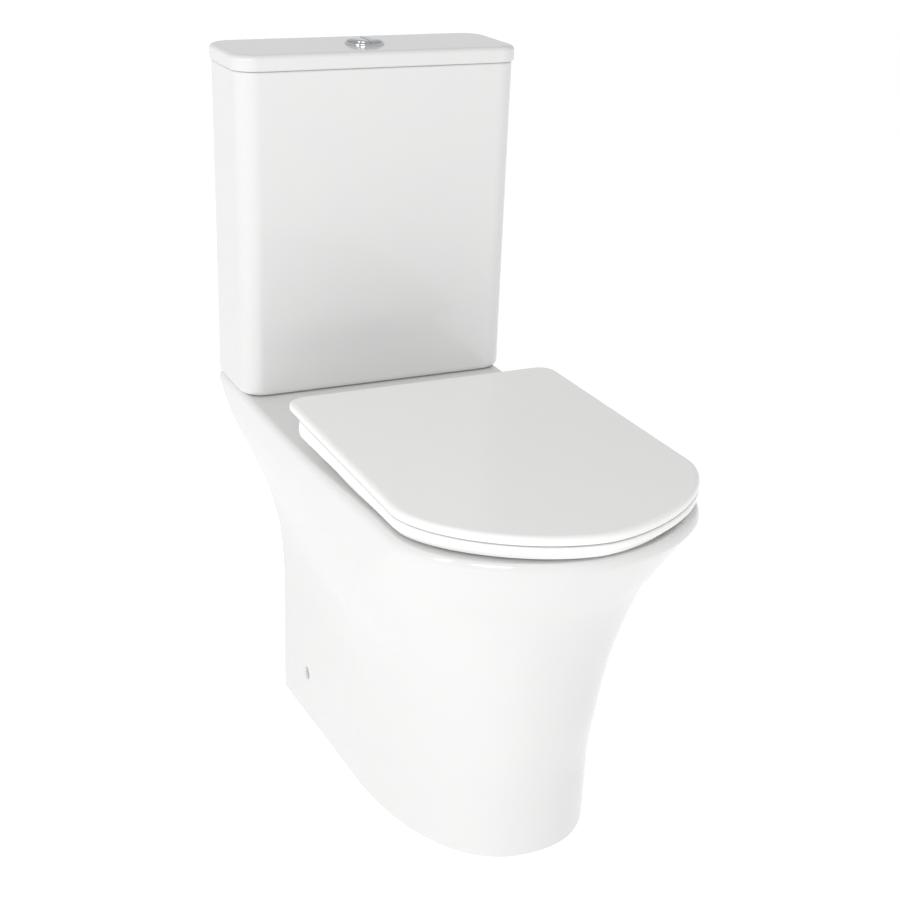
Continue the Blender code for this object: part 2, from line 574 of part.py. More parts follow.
def build_fill_valve():
    """Bottom-entry fill valve: riser, nut, washer, cap, lever, float and its adjuster."""
    floor = TANK_Z + TANK_FLOOR
    at = (FILL_X, AXIS_Y, 0)
    rise = floor + 270 * MM
    tube("fill_valve_body", at,
         [(TANK_Z - 38 * MM, 4 * MM), (TANK_Z - 38 * MM, 7 * MM), (floor + 3.6 * MM, 7 * MM), (floor + 3.6 * MM, 16 * MM),
          (floor + 8 * MM, 16 * MM), (floor + 14 * MM, 10 * MM), (rise, 10 * MM), (rise, 4 * MM)], "plastic", n=24)
    tube("fill_valve_washer", (FILL_X, AXIS_Y, floor + GAP),
         [(0, 7.3 * MM), (0, 15 * MM), (3 * MM, 15 * MM), (3 * MM, 7.3 * MM)], "rubber", n=24)
    tube("fill_valve_backnut", (FILL_X, AXIS_Y, TANK_Z - GAP),
         [(0, 7.4 * MM), (0, 14 * MM), (-9 * MM, 14 * MM), (-9 * MM, 7.4 * MM)], "nylon", n=24)
    cap = turned("fill_valve_cap", at,
                 [(rise + GAP, 15 * MM), (rise + 18 * MM, 15 * MM), (rise + 22 * MM, 11 * MM)], "nylon", n=24)
    for side in (-1, 1):
        join(cap, box("ear", (FILL_X + 10 * MM, AXIS_Y + side * 6 * MM - 1.5 * MM, rise + 4 * MM),
                      (FILL_X + 24 * MM, AXIS_Y + side * 6 * MM + 1.5 * MM, rise + 16 * MM)))
    cut(cap, rod("pivot", (FILL_X + 20 * MM, AXIS_Y, rise + 10 * MM), "Y", -12 * MM, 12 * MM, 1.8 * MM, n=12))
    arm = box("float_lever", (FILL_X + 17 * MM, AXIS_Y - 3 * MM, rise + 7.5 * MM),
              (FILL_X + 56 * MM, AXIS_Y + 3 * MM, rise + 12.5 * MM), "plastic")
    join(arm, rod("pivot_pin", (FILL_X + 20 * MM, AXIS_Y, rise + 10 * MM), "Y", -7 * MM, 7 * MM, 1.4 * MM, n=12))
    cup = tube("float_cup", (FILL_X, AXIS_Y, 0),
               [(rise - 92 * MM, 10.8 * MM), (rise - 92 * MM, 24 * MM), (rise - 36 * MM, 24 * MM),
                (rise - 36 * MM, 10.8 * MM)], "plastic", n=28)
    lug = box("lug", (FILL_X + 20 * MM, AXIS_Y - 5 * MM, rise - 60 * MM),
              (FILL_X + 52 * MM, AXIS_Y + 5 * MM, rise - 54 * MM))
    join(cup, lug)
    cut(cup, rod("link_hole", (FILL_X + 46 * MM, AXIS_Y, 0), "Z", rise - 62 * MM, rise - 52 * MM, 2.4 * MM, n=12))
    turned("adjuster_rod", (FILL_X + 46 * MM, AXIS_Y, 0),
           [(rise - 70 * MM, 2 * MM), (rise + 1 * MM, 2 * MM), (rise + 1 * MM, 3.5 * MM), (rise + 4.4 * MM, 3.5 * MM)],
           "brass", n=12)


# ------------------------------------------------------------------ seat
def seat_outline(rear, z, inset=0.0, corner=9 * MM):
    """Plan outline shared by cover and ring."""
    return d_outline(SEAT_HALF_REAR - inset, SEAT_HALF - inset, rear - inset, SEAT_CURVE_Y, FRONT_Y + inset,
                     SEAT_POWER, z, corner)


def ring_bottom(y):
    """Height of the ring's underside: the ring gets thinner towards the front."""
    t = min(max((HINGE_Y - 23 * MM - y) / (HINGE_Y - 23 * MM - FRONT_Y), 0), 1)
    return RING_TOP - mix(RING_T_REAR, RING_T_FRONT, t)


def hole_outline(z, n=44):
    """Opening of the seat ring."""
    rear, front, half = 11 * MM, FRONT_Y + 62 * MM, 112 * MM
    mid, reach = (rear + front) / 2, (rear - front) / 2
    pts = []
    for k in range(n):
        a = 2 * math.pi * k / n
        c, s = math.cos(a), math.sin(a)
        pts.append(Vector((half * math.copysign(abs(c) ** 0.9, c), mid + reach * math.copysign(abs(s) ** 0.9, s), z)))
    return pts


def lug(name, low_x, high_x, arm_y, arm_low, arm_high):
    """Hinge barrel about the seat axis with an arm reaching to arm_y."""
    body = rod(name, (0, HINGE_Y, HINGE_Z), "X", low_x, high_x, BARREL_R, n=28)
    y0, y1 = sorted((HINGE_Y, arm_y))
    join(body, box("arm", (low_x, y0, arm_low), (high_x, y1, arm_high)))
    return body


def build_seat():
    """Cover and ring with their hinge lugs."""
    low, r = COVER_Z, 4.5 * MM
    rings = [seat_outline(SEAT_REAR, low, 1.2 * MM), seat_outline(SEAT_REAR, low + 1.2 * MM, 0)]
    for k in range(6):
        a = math.radians(90 * k / 5)
        rings.append(seat_outline(SEAT_REAR, low + COVER_T - r + r * math.sin(a), r * 1.3 * (1 - math.cos(a))))
    cover = loft("seat_cover", rings, "seat")
    rear = SEAT_REAR - RING_SETBACK
    levels = [(0, 2 * MM), (0.1, 0), (0.72, 0), (0.9, 1.2 * MM), (1, 4 * MM)]
    rings = []
    for t, inset in levels:
        ring = seat_outline(rear, 0, inset)
        for p in ring:
            p.z = mix(ring_bottom(p.y), RING_TOP, t)
        rings.append(ring)
    seat = loft("seat_ring", rings, "seat")
    hole = loft("opening", [hole_outline(RING_TOP - 40 * MM), hole_outline(RING_TOP + 10 * MM)])
    cut(seat, hole)
    for side in (-1, 1):
        spans = sorted((side * 86 * MM, side * 104 * MM))
        join(seat, lug("ring_lug", spans[0], spans[1], rear - 6 * MM, HINGE_Z - 5 * MM, HINGE_Z + 5 * MM))
        spans = sorted((side * 105 * MM, side * 123 * MM))
        body = rod("cover_lug", (0, HINGE_Y, HINGE_Z), "X", spans[0], spans[1], BARREL_R, n=28)
        join(body, box("arm", (spans[0], HINGE_Y - 6 * MM, HINGE_Z), (spans[1], HINGE_Y + 6 * MM, COVER_Z + 3 * MM)))
        join(cover, body)
        bore = ("X", side * 84 * MM, side * 125 * MM)
        cut(seat, rod("bore", (0, HINGE_Y, HINGE_Z), bore[0], *sorted(bore[1:]), PIN_R + 0.4 * MM, n=24))
        cut(cover, rod("bore", (0, HINGE_Y, HINGE_Z), bore[0], *sorted((side * 100 * MM, side * 140 * MM)),
                       PIN_R + 0.4 * MM if side < 0 else 5.4 * MM, n=24))
    return cover, seat


def build_hinges():
    """Hinge posts with their pins, studs, washers and nuts, and the two dampers."""
    for side, tag in ((-1, "left"), (1, "right")):
        x = side * HINGE_X
        top = DECK_Z + rim_rise(HINGE_Y) + GAP
        post = turned("hinge_post_" + tag, (x, HINGE_Y, 0),
                      [(top + 0.6 * MM, 15 * MM), (top + 3 * MM, 15 * MM), (top + 4.5 * MM, 12 * MM)], "chrome", n=32)
        join(post, rod("eye", (x, HINGE_Y, HINGE_Z), "X", -7.5 * MM, 7.5 * MM, BARREL_R, n=28))
        join(post, box("neck", (x - 7.5 * MM, HINGE_Y - 6 * MM, top + 2 * MM), (x + 7.5 * MM, HINGE_Y + 6 * MM, HINGE_Z)))
        reach = sorted((side * 76 * MM, side * (122 if side < 0 else 108) * MM))
        join(post, rod("pin", (0, HINGE_Y, HINGE_Z), "X", *reach, PIN_R, n=24))
        cut(post, rod("stud_hole", (x, HINGE_Y, 0), "Z", top - 5 * MM, top + 3.6 * MM, 3.4 * MM, n=16))
        under = DECK_Z - SHELF_T
        turned("hinge_stud_" + tag, (x, HINGE_Y, 0),
               [(under - 34 * MM, 3 * MM), (top + 3.2 * MM, 3 * MM)], "steel", n=16)
        tube("hinge_washer_" + tag, (x, HINGE_Y, under - GAP),
             [(0, 3.4 * MM), (0, 13 * MM), (-3 * MM, 13 * MM), (-3 * MM, 3.4 * MM)], "rubber", n=20)
        tube("hinge_nut_" + tag, (x, HINGE_Y, under - GAP - 3.3 * MM),
             [(0, 3.3 * MM), (0, 10 * MM), (-10 * MM, 8 * MM), (-10 * MM, 3.3 * MM)], "nylon", n=18)
    tube("cover_damper", (0, HINGE_Y, HINGE_Z),
         [(109 * MM, 1.2 * MM), (109 * MM, 5 * MM), (122.6 * MM, 5 * MM), (122.6 * MM, 1.2 * MM)], "steel", "X", n=24)


def build_buffers():
    """Rubber feet under the ring and under the cover."""
    for name, x, y in (("ring_buffer_rear_left", -128, 20), ("ring_buffer_rear_right", 128, 20),
                       ("ring_buffer_front_left", -95, -262), ("ring_buffer_front_right", 95, -262)):
        x, y = x * MM, y * MM
        z0, z1 = DECK_Z + rim_rise(y) + 0.5 * MM, ring_bottom(y) - 0.4 * MM
        rows = [[(x + dx * MM * w, y + dy * MM * w) for dx, dy in ((-6, -14), (6, -14), (6, 14), (-6, 14))]
                for w in (0.8, 1.0)]
        low = [Vector((px, py, DECK_Z + rim_rise(py) + 0.5 * MM)) for px, py in rows[0]]
        mid = [Vector((px, py, mix(z0, z1, 0.4))) for px, py in rows[1]]
        high = [Vector((px, py, ring_bottom(py) - 0.4 * MM)) for px, py in rows[1]]
        loft(name, [low, mid, high], "rubber")
    for side, tag in ((-1, "left"), (1, "right")):
        turned("cover_buffer_" + tag, (side * 130 * MM, -232 * MM, 0),
               [(RING_TOP + 0.3 * MM, 4 * MM), (COVER_Z - 0.3 * MM, 5 * MM)], "rubber", n=16)


def build_fixings():
    """Brackets inside the foot, each with a floor screw and a side screw through the china."""
    for side, tag in ((-1, "left"), (1, "right")):
        span = sorted((side * (BRACKET_X - 50 * MM), side * BRACKET_X))
        bracket = box("floor_bracket_" + tag, (span[0], FIX_Y - 18 * MM, GAP), (span[1], FIX_Y + 18 * MM, 8 * MM), "nylon")
        span = sorted((side * (BRACKET_X - 12 * MM), side * BRACKET_X))
        join(bracket, box("upright", (span[0], FIX_Y - 18 * MM, 2 * MM), (span[1], FIX_Y + 18 * MM, FIX_Z + 16 * MM)))
        span, floor_x = sorted((side * (BRACKET_X - 20 * MM), side * (BRACKET_X + 10 * MM))), side * (BRACKET_X - 32 * MM)
        cut(bracket, rod("screw_way", (0, FIX_Y, FIX_Z), "X", *span, 2.9 * MM, n=16),
            rod("floor_way", (floor_x, FIX_Y, 0), "Z", -2 * MM, 12 * MM, 3.2 * MM, n=16))
        turned("floor_screw_" + tag, (floor_x, FIX_Y, 0),
               [(GAP, 2.7 * MM), (8.4 * MM, 2.7 * MM), (8.4 * MM, 6.5 * MM), (10 * MM, 6.5 * MM), (12 * MM, 4.5 * MM)],
               "steel", n=16)
        profile = [(BRACKET_X + d * MM, r * MM) for d, r in ((-18, 2.4), (6, 2.4), (6, 5.5), (8.5, 5.5), (10, 4))]
        turned("side_screw_" + tag, (0, FIX_Y, FIX_Z), [(side * d, r) for d, r in profile], "steel", "X", n=16)


build_pan()
build_tank()
build_lid()
build_button()
build_coupling()
build_flush_valve()
build_fill_valve()
build_seat()
build_hinges()
build_buffers()
build_fixings()
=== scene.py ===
"""Looks of a close coupled toilet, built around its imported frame.

The glazed china, the seat and the push button are made here as fine meshes that stand for
the plain solids of the frame. The fittings keep their solids and get their finishes.
"""
from __future__ import annotations

import logging
import math
from dataclasses import dataclass, field
from enum import Enum
from typing import Iterable, Sequence

import bmesh
import bpy
from mathutils import Euler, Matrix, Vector

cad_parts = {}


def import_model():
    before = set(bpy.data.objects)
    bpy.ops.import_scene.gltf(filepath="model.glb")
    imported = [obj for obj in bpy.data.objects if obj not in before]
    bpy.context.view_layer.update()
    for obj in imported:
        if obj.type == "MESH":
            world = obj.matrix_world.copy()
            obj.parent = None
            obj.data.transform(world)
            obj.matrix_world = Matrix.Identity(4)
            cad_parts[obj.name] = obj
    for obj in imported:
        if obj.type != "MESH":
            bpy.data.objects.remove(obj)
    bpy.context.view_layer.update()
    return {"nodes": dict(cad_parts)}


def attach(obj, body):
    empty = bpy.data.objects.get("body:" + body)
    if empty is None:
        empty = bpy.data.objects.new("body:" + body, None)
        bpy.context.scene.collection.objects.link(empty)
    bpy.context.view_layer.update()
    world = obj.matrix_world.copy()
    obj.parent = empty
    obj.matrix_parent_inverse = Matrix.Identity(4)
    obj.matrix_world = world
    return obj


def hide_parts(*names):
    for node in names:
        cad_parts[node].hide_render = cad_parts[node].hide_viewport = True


LOG = logging.getLogger("toilet")
MM = 0.001
Ring = list[Vector]


# ------------------------------------------------------------------ colour and nodes
def linear(hex_colour: str) -> tuple[float, float, float, float]:
    """Turn an sRGB hex colour into the linear values a shader takes.

    Args:
        hex_colour: Six hex digits, with or without a leading #.

    Returns:
        Linear red, green, blue and an alpha of one.
    """
    digits = hex_colour.lstrip("#")
    values = [int(digits[i:i + 2], 16) / 255 for i in (0, 2, 4)]
    return (*[v / 12.92 if v <= 0.04045 else ((v + 0.055) / 1.055) ** 2.4 for v in values], 1.0)


def add_node(tree: bpy.types.NodeTree, kind: str, settings: dict | None = None,
             links: dict | None = None) -> bpy.types.Node:
    """Add one shader node.

    Args:
        tree: Tree that takes the node.
        kind: Node type name.
        settings: Attribute names, or input names and indices, with their values.
        links: Input names or indices with the output socket that feeds each.

    Returns:
        The new node.
    """
    node = tree.nodes.new(kind)
    for key, value in (settings or {}).items():
        if isinstance(key, str) and hasattr(node, key):
            setattr(node, key, value)
        else:
            node.inputs[key].default_value = value
    for key, socket in (links or {}).items():
        tree.links.new(socket, node.inputs[key])
    return node


@dataclass(frozen=True)
class Finish:
    """One real material: its colour, gloss and the fine relief of its surface.

    Attributes:
        name: Name of the Blender material.
        colour: Base colour.
        shade: Second colour that slow, faint variation runs towards.
        roughness: Lowest and highest roughness.
        metal: One for a metal, zero otherwise.
        glow: Light given off by the surface itself.
        wave_mm: Size of the slow undulation of the surface.
        wave_depth: Height of that undulation in millimetres.
        grain_mm: Size of the fine grain.
        grain_depth: Height of the grain in millimetres.
        stretch: How much longer the grain is along each axis.
    """

    name: str
    colour: str
    shade: str
    roughness: tuple[float, float]
    metal: float = 0.0
    glow: float = 0.0
    wave_mm: float = 40.0
    wave_depth: float = 0.0
    grain_mm: float = 1.0
    grain_depth: float = 0.0
    stretch: tuple[float, float, float] = (1.0, 1.0, 1.0)

    def build(self) -> bpy.types.Material:
        """Make the material, or return it where it exists.

        Returns:
            The node material.
        """
        known = bpy.data.materials.get(self.name)
        if known:
            return known
        mat = bpy.data.materials.new(self.name)
        mat.use_nodes = True
        tree = mat.node_tree
        tree.nodes.clear()
        where = add_node(tree, "ShaderNodeTexCoord").outputs["Object"]
        slow = add_node(tree, "ShaderNodeTexNoise",
                        {"Scale": 1 / (self.wave_mm * MM), "Detail": 2.0, "Roughness": 0.45},
                        {"Vector": where})
        mapped = add_node(tree, "ShaderNodeMapping", {"Scale": tuple(1 / s for s in self.stretch)},
                          {"Vector": where})
        grain = add_node(tree, "ShaderNodeTexNoise",
                         {"Scale": 1 / (self.grain_mm * MM), "Detail": 3.0, "Roughness": 0.6},
                         {"Vector": mapped.outputs["Vector"]})
        tone = add_node(tree, "ShaderNodeMix", {"data_type": "RGBA"}, {0: slow.outputs["Fac"]})
        tone.inputs[6].default_value = linear(self.colour)
        tone.inputs[7].default_value = linear(self.shade)
        least, most = self.roughness
        rough = add_node(tree, "ShaderNodeMapRange",
                         {"From Min": 0.3, "From Max": 0.7, "To Min": least, "To Max": most},
                         {"Value": grain.outputs["Fac"]})
        shader = add_node(tree, "ShaderNodeBsdfPrincipled",
                          {"Metallic": self.metal, "Emission Color": (1, 1, 1, 1),
                           "Emission Strength": self.glow},
                          {"Base Color": tone.outputs[2], "Roughness": rough.outputs["Result"]})
        normal = None
        for source, depth in ((slow, self.wave_depth), (grain, self.grain_depth)):
            if depth:
                links = {"Height": source.outputs["Fac"]}
                if normal:
                    links["Normal"] = normal
                normal = add_node(tree, "ShaderNodeBump", {"Strength": 1.0, "Distance": depth * MM},
                                  links).outputs["Normal"]
        if normal:
            tree.links.new(normal, shader.inputs["Normal"])
        add_node(tree, "ShaderNodeOutputMaterial", None, {"Surface": shader.outputs["BSDF"]})
        return mat


# Vitreous china, dipped in white glaze and fired: wet-looking gloss with a faint, slow ripple.
CHINA = Finish("glazed_vitreous_china", "#E3E3E2", "#E0E1E0", (0.07, 0.12),
               wave_mm=55, wave_depth=0.25, grain_mm=2.5, grain_depth=0.004)
# Urea moulding, polished after pressing: a softer gloss than the china beside it.
UREA = Finish("polished_urea_moulding", "#F6F6F5", "#F4F4F3", (0.16, 0.22),
              wave_mm=80, wave_depth=0.12, grain_mm=1.2, grain_depth=0.004)
# Chrome plate on moulded plastic, buffed: mirror with faint wipe marks along one way.
CHROME = Finish("polished_chrome_plate", "#CDCFD2", "#C3C6CA", (0.04, 0.11), metal=1.0,
                wave_mm=18, wave_depth=0.02, grain_mm=0.8, grain_depth=0.002, stretch=(1, 12, 1))
# Natural ABS and acetal from a textured mould: satin, slightly warm white.
ABS = Finish("moulded_white_abs", "#E4E3DC", "#DAD9D1", (0.34, 0.48), wave_mm=30, wave_depth=0.05,
             grain_mm=0.7, grain_depth=0.02)
# Glass-filled nylon, moulded in blue-grey: dull with a sandy grain.
NYLON = Finish("moulded_blue_nylon", "#5E6F8C", "#526079", (0.42, 0.58), wave_mm=16, wave_depth=0.05,
               grain_mm=0.5, grain_depth=0.03)
# EPDM rubber, press moulded: matt black with a fine bloom.
RUBBER = Finish("pressed_epdm_rubber", "#1E1F20", "#2B2C2C", (0.62, 0.82), wave_mm=12, wave_depth=0.05,
                grain_mm=0.6, grain_depth=0.04)
# Soft clear-white buffer rubber.
BUFFER = Finish("moulded_white_silicone", "#DCDDDC", "#CFD1D0", (0.38, 0.52), wave_mm=10, wave_depth=0.03,
                grain_mm=0.5, grain_depth=0.02)
# Stainless steel, drawn bar: bright with lines along its length.
STEEL = Finish("drawn_stainless_steel", "#B9BBBE", "#A6A9AD", (0.22, 0.36), metal=1.0, wave_mm=9,
               grain_mm=0.5, grain_depth=0.01, stretch=(1, 1, 14))
# Free-machining brass, turned: tool marks run around the bar.
BRASS = Finish("turned_brass", "#C8A45C", "#AE8743", (0.24, 0.4), metal=1.0, wave_mm=8,
               grain_mm=0.4, grain_depth=0.01, stretch=(12, 12, 1))


# ------------------------------------------------------------------ mesh helpers
def mix(a: float, b: float, t: float) -> float:
    """Blend two numbers.

    Args:
        a: Value at zero.
        b: Value at one.
        t: Share of the way.

    Returns:
        The blend.
    """
    return a + (b - a) * t


def smooth(t: float) -> float:
    """Ease from 0 to 1 with no kink at either end.

    Args:
        t: Share of the way, held to 0..1.

    Returns:
        The eased share.
    """
    t = min(max(t, 0.0), 1.0)
    return t * t * (3 - 2 * t)


def skin(bm: bmesh.types.BMesh, rings: Sequence[Ring], closed: bool = False) -> None:
    """Join rings of equal length with quads.

    Args:
        bm: Mesh that takes the faces.
        rings: Loops of points.
        closed: Join the last ring to the first; otherwise both ends are capped.
    """
    loops = [[bm.verts.new(p) for p in ring] for ring in rings]
    count = len(loops[0])
    pairs = list(zip(loops, loops[1:])) + ([(loops[-1], loops[0])] if closed else [])
    for low, high in pairs:
        for i in range(count):
            j = (i + 1) % count
            bm.faces.new((low[i], low[j], high[j], high[i]))
    if not closed:
        bm.faces.new(list(reversed(loops[0])))
        bm.faces.new(loops[-1])


def solid(name: str, rings: Sequence[Ring], closed: bool = False) -> bpy.types.Object:
    """Make a closed object through rings.

    Args:
        name: Object name.
        rings: Loops of points.
        closed: Whether the last ring joins the first.

    Returns:
        The new object, linked to the scene.
    """
    bm = bmesh.new()
    skin(bm, rings, closed)
    bmesh.ops.recalc_face_normals(bm, faces=bm.faces)
    mesh = bpy.data.meshes.new(name)
    bm.to_mesh(mesh)
    bm.free()
    obj = bpy.data.objects.new(name, mesh)
    bpy.context.scene.collection.objects.link(obj)
    return obj


def circle(centre: Vector, radius: float, axis: str = "Z", count: int = 48) -> Ring:
    """Points of a circle.

    Args:
        centre: Centre of the circle.
        radius: Radius in metres.
        axis: Axis that the circle stands square to.
        count: Number of points.

    Returns:
        The ring.
    """
    ring = []
    for i in range(count):
        a = 2 * math.pi * i / count
        u, v = radius * math.cos(a), radius * math.sin(a)
        ring.append(centre + Vector({"Z": (u, v, 0), "X": (0, u, v), "Y": (v, 0, u)}[axis]))
    return ring


STEP = {"X": Vector((1, 0, 0)), "Y": Vector((0, 1, 0)), "Z": Vector((0, 0, 1))}


def turned(name: str, centre: Vector, profile: Iterable[tuple[float, float]], axis: str = "Z",
           count: int = 48, closed: bool = False) -> bpy.types.Object:
    """Solid of revolution.

    Args:
        name: Object name.
        centre: Point that distances are counted from.
        profile: Pairs of distance along the axis and radius.
        axis: Axis of revolution.
        count: Points around.
        closed: Whether the profile is a closed loop, as for a tube.

    Returns:
        The new object.
    """
    return solid(name, [circle(centre + STEP[axis] * d, r, axis, count) for d, r in profile], closed)


def block(name: str, low: Sequence[float], high: Sequence[float]) -> bpy.types.Object:
    """Make an axis aligned block, used as a cutter or a web.

    Args:
        name: Object name.
        low: Its lowest corner.
        high: Its highest corner.

    Returns:
        The new object.
    """
    (x0, y0, z0), (x1, y1, z1) = low, high
    plan = ((x0, y0), (x1, y0), (x1, y1), (x0, y1))
    return solid(name, [[Vector((x, y, z)) for x, y in plan] for z in (z0, z1)])


def boolean(target: bpy.types.Object, tools: Sequence[bpy.types.Object], operation: str) -> bpy.types.Object:
    """Apply an exact Boolean with each tool and remove the tools.

    Args:
        target: Object that is changed.
        tools: Objects that are used up.
        operation: UNION or DIFFERENCE.

    Returns:
        The target.
    """
    for tool in tools:
        mod = target.modifiers.new(tool.name, "BOOLEAN")
        mod.operation, mod.solver, mod.object = operation, "EXACT", tool
    bpy.context.view_layer.update()
    graph = bpy.context.evaluated_depsgraph_get()
    mesh = bpy.data.meshes.new_from_object(target.evaluated_get(graph))
    target.modifiers.clear()
    target.data = mesh
    for tool in tools:
        bpy.data.objects.remove(tool, do_unlink=True)
    return target


def polish(obj: bpy.types.Object, finish: Finish, angle: float = 32.0) -> bpy.types.Object:
    """Smooth the faces, keep real edges crisp and give the finish.

    Args:
        obj: Piece to dress.
        finish: Its finish.
        angle: Faces that meet at more than this many degrees keep a crisp edge.

    Returns:
        The same piece.
    """
    mesh = obj.data
    mesh.shade_smooth()
    mesh.set_sharp_from_angle(angle=math.radians(angle))
    mod = obj.modifiers.new("weighted", "WEIGHTED_NORMAL")
    mod.keep_sharp = True
    mesh.materials.clear()
    mesh.materials.append(finish.build())
    return obj


class Slot(Enum):
    """Material slots of the record."""

    CHINA = "china"
    SEAT = "seat"
    CHROME = "chrome"


def place(obj: bpy.types.Object, body: str, slot: Slot, *nodes: str) -> None:
    """Fix a piece to its body and hide the solids that it stands for.

    Args:
        obj: The piece.
        body: Body of the frame that carries it.
        slot: Material slot of the record; not used.
        nodes: Solids of the frame that it stands for.
    """
    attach(obj, body)
    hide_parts(*nodes)
    LOG.info("%s rides on %s, %d faces", obj.name, body, len(obj.data.polygons))


@dataclass(frozen=True)
class DShape:
    """Plan outline with a square back and an oval front, as of a rim or a seat.

    Attributes:
        half_rear: Half width at the back.
        half: Half width where the front curve starts.
        rear: Y of the back.
        bend: Y where the front curve starts.
        front: Y of the front.
        power: Fullness of the front curve.
        corner: Radius of the back corners.
    """

    half_rear: float
    half: float
    rear: float
    bend: float
    front: float
    power: float
    corner: float = 10 * MM

    def inset(self, by: float) -> "DShape":
        """Draw the shape in.

        Args:
            by: Distance from the old outline.

        Returns:
            The smaller shape.
        """
        return DShape(self.half_rear - by, self.half - by, self.rear - by, self.bend, self.front + by,
                      self.power, max(self.corner - by * 0.5, 2 * MM))

    def ring(self, z: float, curve: int = 96, side: int = 14, back: int = 16, turn: int = 7) -> Ring:
        """Points of the outline, all loops alike so that they can be joined.

        Args:
            z: Height of the points.
            curve: Steps along the front curve.
            side: Steps along each straight side.
            back: Steps across the back.
            turn: Steps around each back corner.

        Returns:
            The ring, from the middle of the back by the left side.
        """
        c, pts = self.corner, []
        inner = self.half_rear - c
        pts += [Vector((mix(0, -inner, k / (back / 2)), self.rear, z)) for k in range(int(back / 2))]
        pts += [Vector((-inner - c * math.sin(math.pi / 2 * k / turn),
                        self.rear - c + c * math.cos(math.pi / 2 * k / turn), z)) for k in range(turn)]
        start, end = (-self.half_rear, self.rear - c), (-self.half, self.bend)
        pts += [Vector((mix(start[0], end[0], k / side), mix(start[1], end[1], k / side), z))
                for k in range(side)]
        half = []
        for k in range(int(curve / 2) + 1):
            a = math.pi * k / curve
            cos, sin = max(math.cos(a), 0.0), math.sin(a)
            half.append((-self.half * cos ** (2 / self.power),
                         self.bend + (self.front - self.bend) * sin ** (2 / self.power)))
        half = even(half)
        pts += [Vector((x, y, z)) for x, y in half]
        return pts + [Vector((-p.x, p.y, p.z)) for p in reversed(pts[1:-1])]


def even(points: Sequence[tuple[float, float]]) -> list[tuple[float, float]]:
    """Space points evenly along their line.

    Args:
        points: Corner points of the line.

    Returns:
        As many points at equal steps.
    """
    lengths = [0.0]
    for (x0, y0), (x1, y1) in zip(points, points[1:]):
        lengths.append(lengths[-1] + math.hypot(x1 - x0, y1 - y0))
    result, k = [], 0
    for i in range(len(points)):
        want = lengths[-1] * i / (len(points) - 1)
        while k < len(points) - 2 and lengths[k + 1] < want:
            k += 1
        t = (want - lengths[k]) / max(lengths[k + 1] - lengths[k], 1e-12)
        result.append((mix(points[k][0], points[k + 1][0], t), mix(points[k][1], points[k + 1][1], t)))
    return result


@dataclass(frozen=True)
class Oval:
    """Opening seen from above: the bowl at one height, or the hole of the ring."""

    half: float
    rear: float
    front: float
    fullness: float = 0.92
    swell: float = 0.0

    def towards(self, ring: Ring, z: float) -> Ring:
        """The oval with one point for each point of a ring around it.

        Args:
            ring: Loop around the oval.
            z: Height of the points.

        Returns:
            The matching ring.
        """
        mid, reach = (self.rear + self.front) / 2, (self.rear - self.front) / 2
        result = []
        for p in ring:
            a = math.atan2((p.y - mid) / reach, p.x / self.half)
            c, s = math.cos(a), math.sin(a)
            wide = self.half * (1 + self.swell * s)
            result.append(Vector((wide * math.copysign(abs(c) ** self.fullness, c),
                                  mid + reach * math.copysign(abs(s) ** self.fullness, s), z)))
        return result


# ------------------------------------------------------------------ pan
DECK = 401 * MM  # height of the pan's level back part
RIM_RISE = 17.7 * MM  # how much higher the rim's front is
CLIMB_START = 116 * MM
CLIMB_LENGTH = 442.5 * MM


def rim_climb(y: float) -> float:
    """How far the pan's top has climbed towards the front.

    Args:
        y: Place along the pan.

    Returns:
        The height above the deck.
    """
    return RIM_RISE * smooth((CLIMB_START - y) / CLIMB_LENGTH)


# Shares of the way from foot to rim at heights from the floor (0) to the rim's edge (0.975).
LEVELS = (0, 0.2, 0.4, 0.55, 0.68, 0.78, 0.86, 0.92, 0.975)
FLARE_FRONT = (0, 0, 0.115, 0.205, 0.325, 0.48, 0.688, 0.855, 1)
FLARE_REAR = (0, 0, 0, 0.04, 0.205, 0.505, 0.775, 0.91, 1)
FLARE_SIDE = (0, 0.035, 0.085, 0.25, 0.53, 0.715, 0.84, 0.925, 1)


def share_at(table: Sequence[float], height: float) -> float:
    """Read a table of shares smoothly between its levels.

    Args:
        table: Shares at LEVELS.
        height: 0 at the floor, 1 at the deck.

    Returns:
        The share there.
    """
    last = len(LEVELS) - 1
    i = min(sum(height >= level for level in LEVELS[1:-1]), last - 1)
    steps = [(table[k + 1] - table[k]) / (LEVELS[k + 1] - LEVELS[k]) for k in range(last)]

    def slope(k: int) -> float:
        """Rise of the line at level k, zero where the steps beside it differ in sign."""
        left, right = steps[max(k - 1, 0)], steps[min(k, last - 1)]
        return 2 * left * right / (left + right) if left * right > 0 else 0.0

    span = LEVELS[i + 1] - LEVELS[i]
    t = min(max((height - LEVELS[i]) / span, 0.0), 1.0)
    return ((1 + 2 * t) * (1 - t) ** 2 * table[i] + t * (1 - t) ** 2 * span * slope(i)
            + t * t * (3 - 2 * t) * table[i + 1] - t * t * (1 - t) * span * slope(i + 1))


